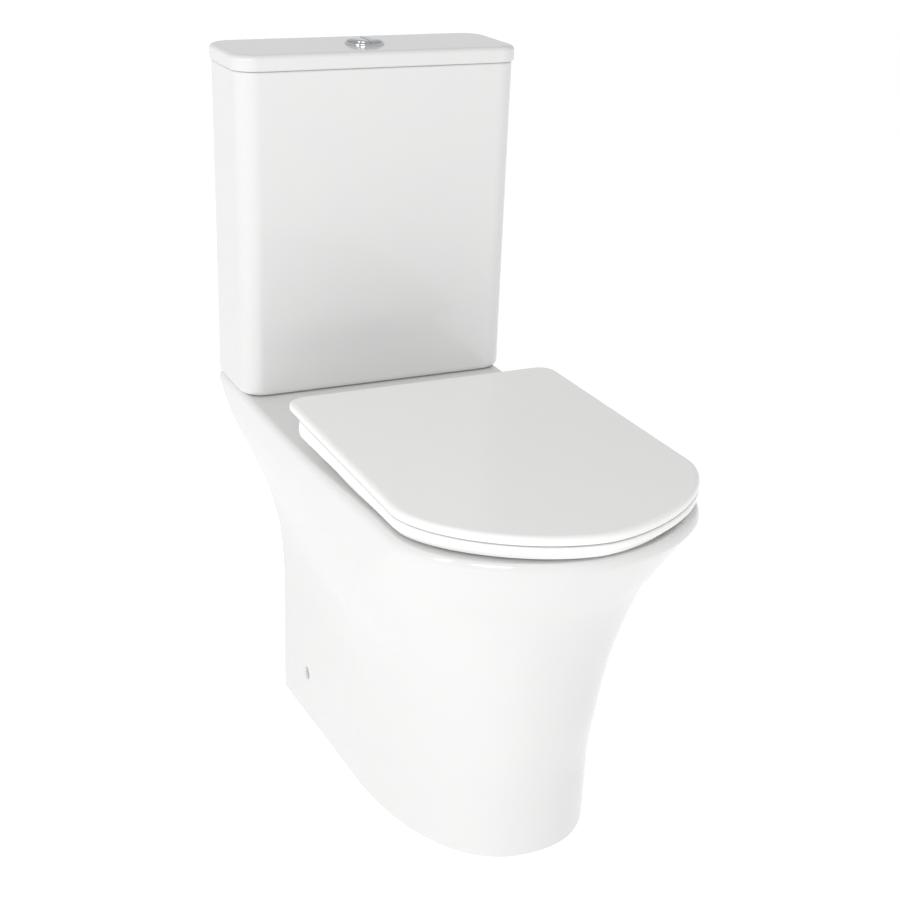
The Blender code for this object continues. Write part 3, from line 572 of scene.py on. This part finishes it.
@dataclass
class Pan:
    """Glazed pan: flared outside, rim, bowl well, hollow back, trap and inlet."""

    deck: float = DECK
    half: float = 175 * MM
    front: float = -350 * MM
    bend: float = -223 * MM
    foot_half_rear: float = 139.7 * MM
    foot_half: float = 132.6 * MM
    foot_rear: float = 208 * MM
    foot_bend: float = 3 * MM
    foot_front: float = -245 * MM
    wall: float = 13 * MM
    shelf: float = 26 * MM
    well: Oval = Oval(123 * MM, 25 * MM, -303 * MM, 0.92, 0.06)
    sump: Oval = Oval(34 * MM, -11 * MM, -117 * MM, 0.92, 0.06)
    sump_z: float = 118 * MM
    trap_radius: float = 24 * MM
    axis_y: float = 292 * MM
    fixing: tuple[float, float, float] = (123 * MM, 62 * MM, 7.5 * MM)

    def outline(self, height: float) -> DShape:
        """Plan of the outside.

        Args:
            height: 0 at the floor, 1 at the deck.

        Returns:
            The outline there.
        """
        ahead, behind, beside = (share_at(table, height) for table in (FLARE_FRONT, FLARE_REAR, FLARE_SIDE))
        return DShape(mix(self.foot_half_rear, self.half, behind), mix(self.foot_half, self.half, beside),
                      mix(self.foot_rear, 356 * MM, behind), mix(self.foot_bend, self.bend, ahead),
                      mix(self.foot_front, self.front, ahead), mix(2.32, 1.88, ahead))

    def bowl(self, t: float, grow: float) -> Oval:
        """Bowl outline at one depth.

        Args:
            t: 0 at the rim, 1 at the sump.
            grow: Distance that it is drawn out by, as for the wall's back.

        Returns:
            The outline.
        """
        a, b = self.well, self.sump
        return Oval(mix(a.half, b.half, t) + grow, mix(a.rear, b.rear, t) + grow,
                    mix(a.front, b.front, t ** 0.9) - grow, a.fullness, a.swell)

    def bowl_step(self, k: float) -> float:
        """How far the bowl has closed in.

        Args:
            k: Share of the bowl's depth.

        Returns:
            Share of the way from the rim's outline to the sump's.
        """
        return smooth(k) * 0.45 + 0.55 * k ** 1.35

    def build(self) -> bpy.types.Object:
        """Make the pan as one closed solid.

        Returns:
            The finished piece.
        """
        levels = 44
        rings = [self.outline(0).inset(2 * MM).ring(0), self.outline(0.004).ring(1.6 * MM)]
        edge_level = LEVELS[-1]
        rings += [self.outline(h).ring(h * self.deck)
                  for h in (edge_level * (k / levels) for k in range(1, levels + 1))]
        top, lip = self.outline(edge_level), 6 * MM
        for k in range(1, 9):
            a = math.pi / 2 * k / 8
            level = edge_level + (1 - edge_level) * math.sin(a)
            rings.append(top.inset(lip * (1 - math.cos(a))).ring(self.deck * level))
        edge = rings[-1]
        mouth = self.bowl(0, 9 * MM).towards(edge, self.deck)
        for k in range(1, 15):
            rings.append([p.lerp(q, k / 14) for p, q in zip(edge, mouth)])
        for k in range(1, 7):
            a = math.pi / 2 * k / 6
            rings.append(self.bowl(0, 9 * MM * (1 - math.sin(a)))
                         .towards(edge, self.deck - 9 * MM * (1 - math.cos(a))))
        for k in range(1, 31):
            z = mix(self.deck - 9 * MM, self.sump_z, k / 30)
            rings.append(self.bowl(self.bowl_step(k / 30), 0).towards(edge, z))
        rings.reverse()
        # From the foot's underside up the inside of the shroud, across under the shelf, down the bowl's back.
        base = self.outline(0)
        rings.append(base.inset(self.wall - 1 * MM).ring(0))
        for k in range(1, 19):
            h = 0.9 * k / 18
            rings.append(self.outline(h).inset(self.wall).ring(h * self.deck))
        under = self.outline(0.9).inset(self.wall + 4 * MM).ring(self.deck - self.shelf)
        rings.append(under)
        back = self.bowl(0, self.wall).towards(under, self.deck - self.shelf)
        rings += [[p.lerp(q, k / 5) for p, q in zip(under, back)] for k in range(1, 6)]
        for k in range(2, 19):
            z = mix(self.deck - 9 * MM, self.sump_z - 12 * MM, k / 18)
            if z < self.deck - self.shelf - 1 * MM:
                rings.append(self.bowl(self.bowl_step(k / 18), self.wall).towards(under, z))
        pan = solid("pan_china", rings)
        for v in pan.data.vertices:
            v.co.z += rim_climb(v.co.y) * min(max(v.co.z / self.deck, 0), 1.05) ** 3
        self.open_back(pan)
        return polish(pan, CHINA, 40)

    def trap(self, name: str, radius: float, extend: float) -> bpy.types.Object:
        """Pipe along the trap: under the dip, over the weir and out at the back.

        Args:
            name: Object name.
            radius: Radius of the pipe.
            extend: Extra length at its mouth.

        Returns:
            The pipe.
        """
        y, z, heading = -49 * MM, 140 * MM, math.radians(-62)
        path = [(y - extend * math.cos(heading), z - extend * math.sin(heading), heading)] if extend else []
        path.append((y, z, heading))
        for degrees, bend, straight in ((128, 50 * MM, 16 * MM), (-112, 46 * MM, 6 * MM), (46, 60 * MM, 0)):
            steps = max(6, abs(degrees) // 6)
            for _ in range(steps):
                step = math.radians(degrees) / steps
                heading += step / 2
                y, z = y + abs(step) * bend * math.cos(heading), z + abs(step) * bend * math.sin(heading)
                heading += step / 2
                path.append((y, z, heading))
            if straight:
                y, z = y + straight * math.cos(heading), z + straight * math.sin(heading)
                path.append((y, z, heading))
        path.append((self.foot_rear + 44 * MM + (2 * MM if extend else 0), path[-1][1], 0.0))
        rings = []
        for y, z, heading in path:
            up = Vector((0, -math.sin(heading), math.cos(heading)))
            rings.append([Vector((radius * math.cos(2 * math.pi * k / 40), y, z))
                          + up * radius * math.sin(2 * math.pi * k / 40) for k in range(40)])
        return solid(name, rings)

    def open_back(self, pan: bpy.types.Object) -> None:
        """Cut the back, add the trap and inlet, and drill the fixing holes.

        Args:
            pan: The shell, which is changed.
        """
        deck, y = self.deck, self.axis_y
        back = block("back", (-92 * MM, 153 * MM, -5 * MM), (92 * MM, 374 * MM, 300 * MM))
        boolean(pan, [back], "DIFFERENCE")
        boolean(pan, [block("chamber", (-46 * MM, 28 * MM, deck - 84 * MM),
                            (46 * MM, y + 46 * MM, deck - self.shelf + 4 * MM)),
                      self.trap("trap_wall", self.trap_radius + 9 * MM, 0)], "UNION")
        tools = [self.trap("trap_bore", self.trap_radius, 34 * MM),
                 turned("inlet", Vector((0, y, deck)), [(-70 * MM, 34 * MM), (30 * MM, 34 * MM)]),
                 turned("seat", Vector((0, y, deck)), [(-11 * MM, 47 * MM), (30 * MM, 47 * MM)]),
                 turned("gallery", Vector((0, y, deck - 48 * MM)), [(-290 * MM, 21 * MM), (0, 21 * MM)], "Y")]
        fix_y, fix_z, fix_r = self.fixing
        face = self.outline(fix_z / deck)
        share = (face.rear - face.corner - fix_y) / (face.rear - face.corner - face.bend)
        wide = mix(face.half_rear, face.half, share)
        for side in (-1, 1):
            for x, hole_y in ((72 * MM, y), (77.5 * MM, 88.5 * MM)):
                tools.append(turned("hole", Vector((side * x, hole_y, deck)),
                                    [(-60 * MM, 7 * MM), (30 * MM, 7 * MM)]))
            mouth = [(wide - 30 * MM, fix_r), (wide - 3 * MM, fix_r)]
            mouth += [(wide - 3 * MM + 3 * MM * math.sin(a), fix_r + 3 * MM * (1 - math.cos(a)))
                      for a in (math.radians(15 * k) for k in range(1, 6))]
            mouth.append((wide + 6 * MM, fix_r + 5 * MM))
            tools.append(turned("fixing", Vector((0, fix_y, fix_z)), [(side * d, r) for d, r in mouth], "X"))
        tools.append(turned("supply", Vector((-119 * MM, y, deck)),
                            [(-60 * MM, 22 * MM), (30 * MM, 22 * MM)]))
        boolean(pan, tools, "DIFFERENCE")


# ------------------------------------------------------------------ cistern
@dataclass
class Cistern:
    """Cistern tank and its lid."""

    half_top: float = 179.8 * MM
    half_bottom: float = 178.1 * MM
    front: float = 229.2 * MM
    rear: float = 357 * MM
    corner: float = 26 * MM
    bottom: float = 402.6 * MM
    top: float = 799.4 * MM
    wall: float = 10 * MM
    floor: float = 13 * MM
    lid: float = 19 * MM
    axis_y: float = 292 * MM

    def box_ring(self, half: float, front: float, rear: float, corner: float, z: float,
                 turn: int = 10) -> Ring:
        """Rounded rectangle in plan.

        Args:
            half: Half width.
            front: Y of the front.
            rear: Y of the back.
            corner: Corner radius.
            z: Height.
            turn: Steps around a corner.

        Returns:
            The ring.
        """
        pts = []
        for cx, cy, start in ((half - corner, rear - corner, 0), (-half + corner, rear - corner, 90),
                              (-half + corner, front + corner, 180), (half - corner, front + corner, 270)):
            for k in range(turn + 1):
                a = math.radians(start + 90 * k / turn)
                pts.append(Vector((cx + corner * math.cos(a), cy + corner * math.sin(a), z)))
        return pts

    def half_at(self, t: float) -> float:
        """Half width of the tank.

        Args:
            t: 0 at the bottom, 1 at the top.

        Returns:
            The half width there.
        """
        return mix(self.half_bottom, self.half_top, t ** 1.5)

    def build_tank(self) -> bpy.types.Object:
        """Make the tank: rounded bottom, tapered sides, rolled top edge, hollow inside.

        Returns:
            The finished piece.
        """
        span, curl, rings = self.top - self.bottom, 7 * MM, []
        for k in range(13):
            a = math.pi / 2 * k / 12
            inset = curl * (1 - math.sin(a)) * 0.8
            rings.append(self.box_ring(self.half_at(0) - inset, self.front + inset * 0.6,
                                       self.rear - inset * 0.1, self.corner,
                                       self.bottom + curl * (1 - math.cos(a))))
        for k in range(1, 17):
            t = mix(curl / span, 1 - 3 * MM / span, k / 16)
            rings.append(self.box_ring(self.half_at(t), self.front, self.rear, self.corner,
                                       self.bottom + span * t))
        for k in range(1, 6):
            a, r = math.pi / 2 * k / 5, 3 * MM
            inset = r * (1 - math.cos(a))
            rings.append(self.box_ring(self.half_top - inset, self.front + inset, self.rear - inset,
                                       self.corner - inset, self.top - r + r * math.sin(a)))
        for inset, z in ((self.wall - 1.5 * MM, self.top), (self.wall, self.top - 1.5 * MM),
                         (self.wall, self.bottom + 30 * MM), (self.wall + 2 * MM, self.bottom + 20 * MM),
                         (self.wall + 8 * MM, self.bottom + self.floor)):
            t = (z - self.bottom) / span
            rings.append(self.box_ring(self.half_at(t) - inset, self.front + inset, self.rear - inset,
                                       self.corner - 8 * MM, z))
        tank = solid("cistern_tank_china", rings)
        holes = [turned("hole", Vector((x, self.axis_y, self.bottom)), [(-5 * MM, r), (20 * MM, r)])
                 for x, r in ((0, 24 * MM), (-119 * MM, 8 * MM), (-72 * MM, 6 * MM), (72 * MM, 6 * MM))]
        boolean(tank, holes, "DIFFERENCE")
        return polish(tank, CHINA)

    def build_lid(self) -> bpy.types.Object:
        """Make the lid: slab with a rolled edge, locating rim below, hole for the button.

        Returns:
            The finished piece.
        """
        low = self.top + 0.3 * MM
        half, front, rear, edge = self.half_top + 2.6 * MM, self.front - 1.6 * MM, self.rear, 5.5 * MM
        rings = []
        for k in range(6):
            a, r = math.pi / 2 * k / 5, 2 * MM
            inset = r * (1 - math.sin(a))
            rings.append(self.box_ring(half - inset, front + inset, rear - inset, self.corner + 1 * MM,
                                       low + r * (1 - math.cos(a))))
        for k in range(11):
            a = math.pi / 2 * k / 10
            inset = edge * (1 - math.cos(a)) * 1.25
            rings.append(self.box_ring(half - inset, front + inset, rear - inset,
                                       self.corner + 1 * MM - inset * 0.5,
                                       low + self.lid - edge + edge * math.sin(a)))
        lid = solid("cistern_lid_china", rings)
        inner = self.half_top - self.wall - 4 * MM
        rim = solid("rim", [self.box_ring(inner - s, self.front + self.wall + 4 * MM + s,
                                          self.rear - self.wall - 4 * MM - s, 14 * MM, low + z)
                            for s, z in ((1.5 * MM, -8 * MM), (0, -6.5 * MM), (0, 1 * MM))])
        space = solid("space", [self.box_ring(inner - 8 * MM, self.front + self.wall + 12 * MM,
                                              self.rear - self.wall - 12 * MM, 8 * MM, low + z)
                                for z in (-9 * MM, 2.5 * MM)])
        hole = turned("hole", Vector((0, self.axis_y, low)), [(-10 * MM, 22.7 * MM), (30 * MM, 22.7 * MM)],
                      count=72)
        boolean(lid, [rim], "UNION")
        boolean(lid, [space, hole], "DIFFERENCE")
        return polish(lid, CHINA)

    def build(self) -> None:
        """Make and place tank and lid."""
        place(self.build_tank(), "base", Slot.CHINA, "cistern_tank")
        place(self.build_lid(), "lid", Slot.CHINA, "cistern_lid")


# ------------------------------------------------------------------ seat
@dataclass
class Seat:
    """Cover and ring, each with its hinge lugs."""

    half_rear: float = 173.1 * MM
    half: float = 174.3 * MM
    rear: float = 97.5 * MM
    bend: float = -224.3 * MM
    front: float = -357 * MM
    cover_z: float = 440.8 * MM
    cover_t: float = 9.5 * MM
    setback: float = 32 * MM
    ring_top: float = 439 * MM
    thick_rear: float = 19 * MM
    thick_front: float = 8.4 * MM
    hinge: Vector = field(default_factory=lambda: Vector((0, 88.5 * MM, 428 * MM)))
    opening: Oval = Oval(112 * MM, 11 * MM, -295 * MM, 0.9)

    def shape(self, rear: float) -> DShape:
        """Outline shared by cover and ring.

        Args:
            rear: Y where the piece ends.

        Returns:
            The outline.
        """
        return DShape(self.half_rear, self.half, rear, self.bend, self.front, 1.69, 20 * MM)

    def underside(self, y: float) -> float:
        """Height of the ring's underside, which rises towards the front.

        Args:
            y: Place along the ring.

        Returns:
            The height at its edge.
        """
        back = self.hinge.y - 23 * MM
        share = min(max((back - y) / (back - self.front), 0), 1)
        return self.ring_top - mix(self.thick_rear, self.thick_front, share)

    def step_down(self, y: float) -> float:
        """How far the underside drops inside the ring's edge, to lie just over the rim.

        Args:
            y: Place along the ring.

        Returns:
            The drop, which fades out towards the back.
        """
        clearance, fade_start, fade_length = 4.5 * MM, 40 * MM, 160 * MM
        gap = self.underside(y) - (DECK + rim_climb(y))
        return max(gap - clearance, 0.0) * smooth((fade_start - y) / fade_length)

    def barrel(self, low: float, high: float) -> bpy.types.Object:
        """Hinge barrel with softened ends.

        Args:
            low: X where it starts.
            high: X where it ends.

        Returns:
            The barrel.
        """
        r, e = 7.5 * MM, 1 * MM
        return turned("barrel", Vector((0, self.hinge.y, self.hinge.z)),
                      [(low, r - e), (low + e, r), (high - e, r), (high, r - e)], "X", 48)

    def build_cover(self) -> bpy.types.Object:
        """Make the cover: flat plate with a rolled top edge, lugs below its back.

        Returns:
            The finished piece.
        """
        shape, rings = self.shape(self.rear), []
        for k in range(5):
            a, r = math.pi / 2 * k / 4, 1.6 * MM
            rings.append(shape.inset(r * (1 - math.sin(a))).ring(self.cover_z + r * (1 - math.cos(a))))
        for k in range(13):
            a, r = math.pi / 2 * k / 12, 4.5 * MM
            rings.append(shape.inset(r * 1.35 * (1 - math.cos(a)))
                         .ring(self.cover_z + self.cover_t - r + r * math.sin(a)))
        cover = solid("seat_cover_moulding", rings)
        y, z = self.hinge.y, self.hinge.z
        lugs, bores = [], []
        for side in (-1, 1):
            low, high = sorted((side * 105 * MM, side * 123 * MM))
            lugs += [self.barrel(low, high),
                     block("arm", (low, y - 6 * MM, z), (high, y + 6 * MM, self.cover_z + 3 * MM))]
            ends = sorted((side * 100 * MM, side * 140 * MM))
            bores.append(turned("bore", Vector((0, y, z)),
                                [(d, 3.4 * MM if side < 0 else 5.4 * MM) for d in ends], "X"))
        boolean(cover, lugs, "UNION")
        boolean(cover, bores, "DIFFERENCE")
        return polish(cover, UREA)

    def build_ring(self) -> bpy.types.Object:
        """Make the ring: rounded outside, dished top, rolled inner edge, lugs at its back.

        Returns:
            The finished piece.
        """
        rear = self.rear - self.setback
        outer = self.shape(rear).ring(0)
        inner = self.opening.towards(outer, 0)
        # Reach in from the outer edge in millimetres, or out from the opening where negative,
        # and share of the height: the underside's outer part, the outer face, the top, the inner
        # face and the rest of the underside.
        section = [(9, 0.0), (5, 0.0), (1.6, 0.05), (0.4, 0.2), (0, 0.4), (0, 0.78), (0.4, 0.9), (1.2, 0.97),
                   (2.6, 1.0), (8, 1.0), (22, 0.99), (-30, 0.96), (-20, 0.92), (-12, 0.85), (-6, 0.74),
                   (-2.4, 0.6), (-0.5, 0.45), (0, 0.3), (-0.6, 0.15), (-2.5, 0.04), (-9, 0.0), (-18, 0.0)]
        rings = []
        for reach, level in section:
            ring = []
            for p, q in zip(outer, inner):
                width = (q - p).length
                last = reach < 0 or (reach, level) == (0, 0.3)
                t = 1 + reach * MM / width if last else reach * MM / width
                spot = p.lerp(q, min(max(t, 0), 1))
                low = self.underside(spot.y)
                spot.z = mix(low, self.ring_top, level)
                if level == 0.0 and reach != 5:  # all of the underside but its outermost line
                    spot.z = low - self.step_down(spot.y)
                ring.append(spot)
            rings.append(ring)
        seat = solid("seat_ring_moulding", rings, closed=True)
        y, z = self.hinge.y, self.hinge.z
        lugs, bores = [], []
        for side in (-1, 1):
            low, high = sorted((side * 86 * MM, side * 104 * MM))
            lugs += [self.barrel(low, high),
                     block("arm", (low, rear - 6 * MM, z - 5 * MM), (high, y, z + 5 * MM))]
            ends = sorted((side * 84 * MM, side * 125 * MM))
            bores.append(turned("bore", Vector((0, y, z)), [(d, 3.4 * MM) for d in ends], "X"))
        boolean(seat, lugs, "UNION")
        boolean(seat, bores, "DIFFERENCE")
        return polish(seat, UREA, 38)

    def build(self) -> None:
        """Make and place cover and ring."""
        place(self.build_cover(), "cover", Slot.SEAT, "seat_cover")
        place(self.build_ring(), "ring", Slot.SEAT, "seat_ring")


# ------------------------------------------------------------------ push button
@dataclass
class PushButton:
    """Chrome rim and the two flush halves inside it."""

    y: float = 292 * MM
    face: float = 819 * MM
    rim: float = 24 * MM
    radius: float = 19.6 * MM
    sleeve: float = 22 * MM
    depth: float = 26.5 * MM

    def build_rim(self) -> bpy.types.Object:
        """Make the rim: rolled outside edge, sloped inside lip and sleeve."""
        bore = self.radius + 0.5 * MM
        profile = [(0, self.rim)]
        profile += [(3 * MM * math.sin(a), self.rim - 2.2 * MM * (1 - math.cos(a)))
                    for a in (math.radians(10 * k) for k in range(2, 10))]
        profile += [(2.9 * MM, bore + 0.9 * MM), (2.5 * MM, bore + 0.3 * MM), (1.9 * MM, bore),
                    (-self.depth, bore), (-self.depth, self.sleeve), (0, self.sleeve)]
        rim = turned("button_rim", Vector((0, self.y, self.face)), profile, count=96, closed=True)
        return polish(rim, CHROME)

    def build_half(self, name: str, side: int) -> bpy.types.Object:
        """Make one flush half with a softened, slightly crowned top.

        Args:
            name: Object name.
            side: -1 for the left half, 1 for the right.

        Returns:
            The finished piece.
        """
        top, rings = 5.4 * MM, []
        steps = [(-7 * MM, 0.0), (top - 2.2 * MM, 0.0)]
        steps += [(top - 2.2 * MM + 1.8 * MM * math.sin(a), 1.8 * MM * (1 - math.cos(a)))
                  for a in (math.radians(15 * k) for k in range(1, 7))]
        steps += [(top - 0.2 * MM, 3.4 * MM), (top, 6 * MM)]
        for z, shrink in steps:
            radius, flat = self.radius - shrink, 0.6 * MM + shrink
            reach = math.acos(flat / radius)
            rings.append([Vector((side * radius * math.cos(a), self.y + radius * math.sin(a), self.face + z))
                          for a in (-reach + 2 * reach * k / 40 for k in range(41))])
        return polish(solid(name, rings), CHROME)

    def build(self) -> None:
        """Make and place the three chrome pieces."""
        place(self.build_rim(), "lid", Slot.CHROME, "button_bezel")
        place(self.build_half("half_flush_face", -1), "half_button", Slot.CHROME, "half_flush_button")
        place(self.build_half("full_flush_face", 1), "full_button", Slot.CHROME, "full_flush_button")


# ------------------------------------------------------------------ fittings
@dataclass(frozen=True)
class Fittings:
    """Hidden fittings that keep their solids: each group gets its finish."""

    groups: tuple[tuple[Finish, tuple[str, ...]], ...] = (
        (ABS, ("button_locknut", "half_flush_rod", "full_flush_rod", "flush_valve_body", "overflow_tube",
               "fill_valve_body", "float_lever", "float_cup")),
        (NYLON, ("wing_nut_left", "wing_nut_right", "flush_valve_backnut", "actuator_head",
                 "fill_valve_backnut", "fill_valve_cap", "hinge_nut_left", "hinge_nut_right",
                 "floor_bracket_left", "floor_bracket_right")),
        (RUBBER, ("coupling_gasket", "bolt_seal_left", "bolt_seal_right", "overflow_seal",
                  "flush_valve_washer", "fill_valve_washer", "hinge_washer_left", "hinge_washer_right")),
        (BUFFER, ("ring_buffer_rear_left", "ring_buffer_rear_right", "ring_buffer_front_left",
                  "ring_buffer_front_right", "cover_buffer_left", "cover_buffer_right")),
        (STEEL, ("hinge_stud_left", "hinge_stud_right", "cover_damper", "floor_screw_left",
                 "floor_screw_right", "side_screw_left", "side_screw_right")),
        (BRASS, ("coupling_bolt_left", "coupling_bolt_right", "bolt_washer_left", "bolt_washer_right",
                 "adjuster_rod")),
        (CHROME, ("hinge_post_left", "hinge_post_right")),
    )

    def dress(self, nodes: dict[str, bpy.types.Object]) -> None:
        """Give every fitting its finish.

        Args:
            nodes: Solids of the frame by name.
        """
        for finish, names in self.groups:
            for name in names:
                for slot in nodes[name].material_slots:
                    slot.material = finish.build()
                LOG.info("%s: %s", name, finish.name)


# ------------------------------------------------------------------ studio
@dataclass(frozen=True)
class Studio:
    """Pale floor, soft light and the camera."""

    eye: Vector = field(default_factory=lambda: Vector((-0.73474, -1.52221, 1.10048)))
    heading: float = 25.65
    tilt: float = 22.62
    lean: float = 2.07
    lens: float = 62.99
    shift: tuple[float, float] = (-0.0012, 0.0014)
    wall: float = 0.88
    ceiling: float = 0.55

    def camera(self) -> None:
        """Stand the camera at the front left, looking slightly down."""
        data = bpy.data.cameras.new("camera")
        data.lens, data.sensor_width = self.lens, 36.0
        data.shift_x, data.shift_y = self.shift
        data.clip_end = 50
        cam = bpy.data.objects.new("camera", data)
        bpy.context.scene.collection.objects.link(cam)
        turn = Euler((math.radians(90 - self.tilt), 0, math.radians(-self.heading)), "XYZ").to_matrix()
        lean = Euler((0, 0, math.radians(self.lean)), "XYZ").to_matrix()
        cam.matrix_world = (turn @ lean).to_4x4()
        cam.location = self.eye
        bpy.context.scene.camera = cam

    def floor(self) -> None:
        """Lay a plain white floor, lit from below like a light table."""
        white = Finish("lit_acrylic", "#CBCBCB", "#C9C9C9", (0.85, 0.95), glow=0.67, wave_mm=600, grain_mm=3)
        mesh = bpy.data.meshes.new("floor")
        reach, z = 20.0, -0.0005
        mesh.from_pydata([(-reach, -reach, z), (reach, -reach, z), (reach, reach, z), (-reach, reach, z)], [],
                         [(0, 1, 2, 3)])
        mesh.materials.append(white.build())
        obj = bpy.data.objects.new("floor", mesh)
        bpy.context.scene.collection.objects.link(obj)

    def soft_box(self, name: str, at: Sequence[float], aim: Sequence[float], wide: float, tall: float,
                 radiance: float) -> None:
        """Hang one soft light.

        Args:
            name: Light name.
            at: Place of the light.
            aim: Point it faces.
            wide: Width in metres.
            tall: Height in metres.
            radiance: Brightness of its face beside white paper at one.
        """
        data = bpy.data.lights.new(name, "AREA")
        data.shape, data.size, data.size_y = "RECTANGLE", wide, tall
        data.energy = radiance * math.pi * wide * tall
        lamp = bpy.data.objects.new(name, data)
        bpy.context.scene.collection.objects.link(lamp)
        lamp.location = at
        lamp.rotation_euler = (Vector(aim) - Vector(at)).to_track_quat("-Z", "Y").to_euler()

    def room(self) -> None:
        """Surround everything with white walls that grow dimmer overhead."""
        world = bpy.data.worlds.new("studio")
        world.use_nodes = True
        tree = world.node_tree
        where = add_node(tree, "ShaderNodeTexCoord")
        axes = add_node(tree, "ShaderNodeSeparateXYZ", None, {0: where.outputs["Generated"]})
        level = add_node(tree, "ShaderNodeMapRange",
                         {"From Min": 0.03, "From Max": 0.4, "To Min": self.wall, "To Max": self.ceiling},
                         {"Value": axes.outputs["Z"]})
        back = tree.nodes["Background"]
        back.inputs["Color"].default_value = (1, 1, 1, 1)
        tree.links.new(level.outputs["Result"], back.inputs["Strength"])
        bpy.context.scene.world = world

    def build(self) -> None:
        """Set floor, lights, world and camera."""
        bpy.context.scene.view_settings.view_transform = "Standard"
        self.room()
        self.floor()
        self.soft_box("left_strip", (-2.3, -0.9, 1.9), (0, 0.1, 0.4), 0.6, 1.8, 3.8)
        self.soft_box("front_key", (-1.6, -2.3, 2.3), (0, 0.0, 0.4), 1.2, 1.2, 6.4)
        self.camera()


def main() -> None:
    """Build every piece in order and report it."""
    logging.basicConfig(level=logging.INFO, format="%(message)s")
    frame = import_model()
    pan = Pan()
    place(pan.build(), "base", Slot.CHINA, "pan")
    Cistern().build()
    Seat().build()
    PushButton().build()
    Fittings().dress(frame["nodes"])
    Studio().build()


if __name__ == "__main__":
    main()
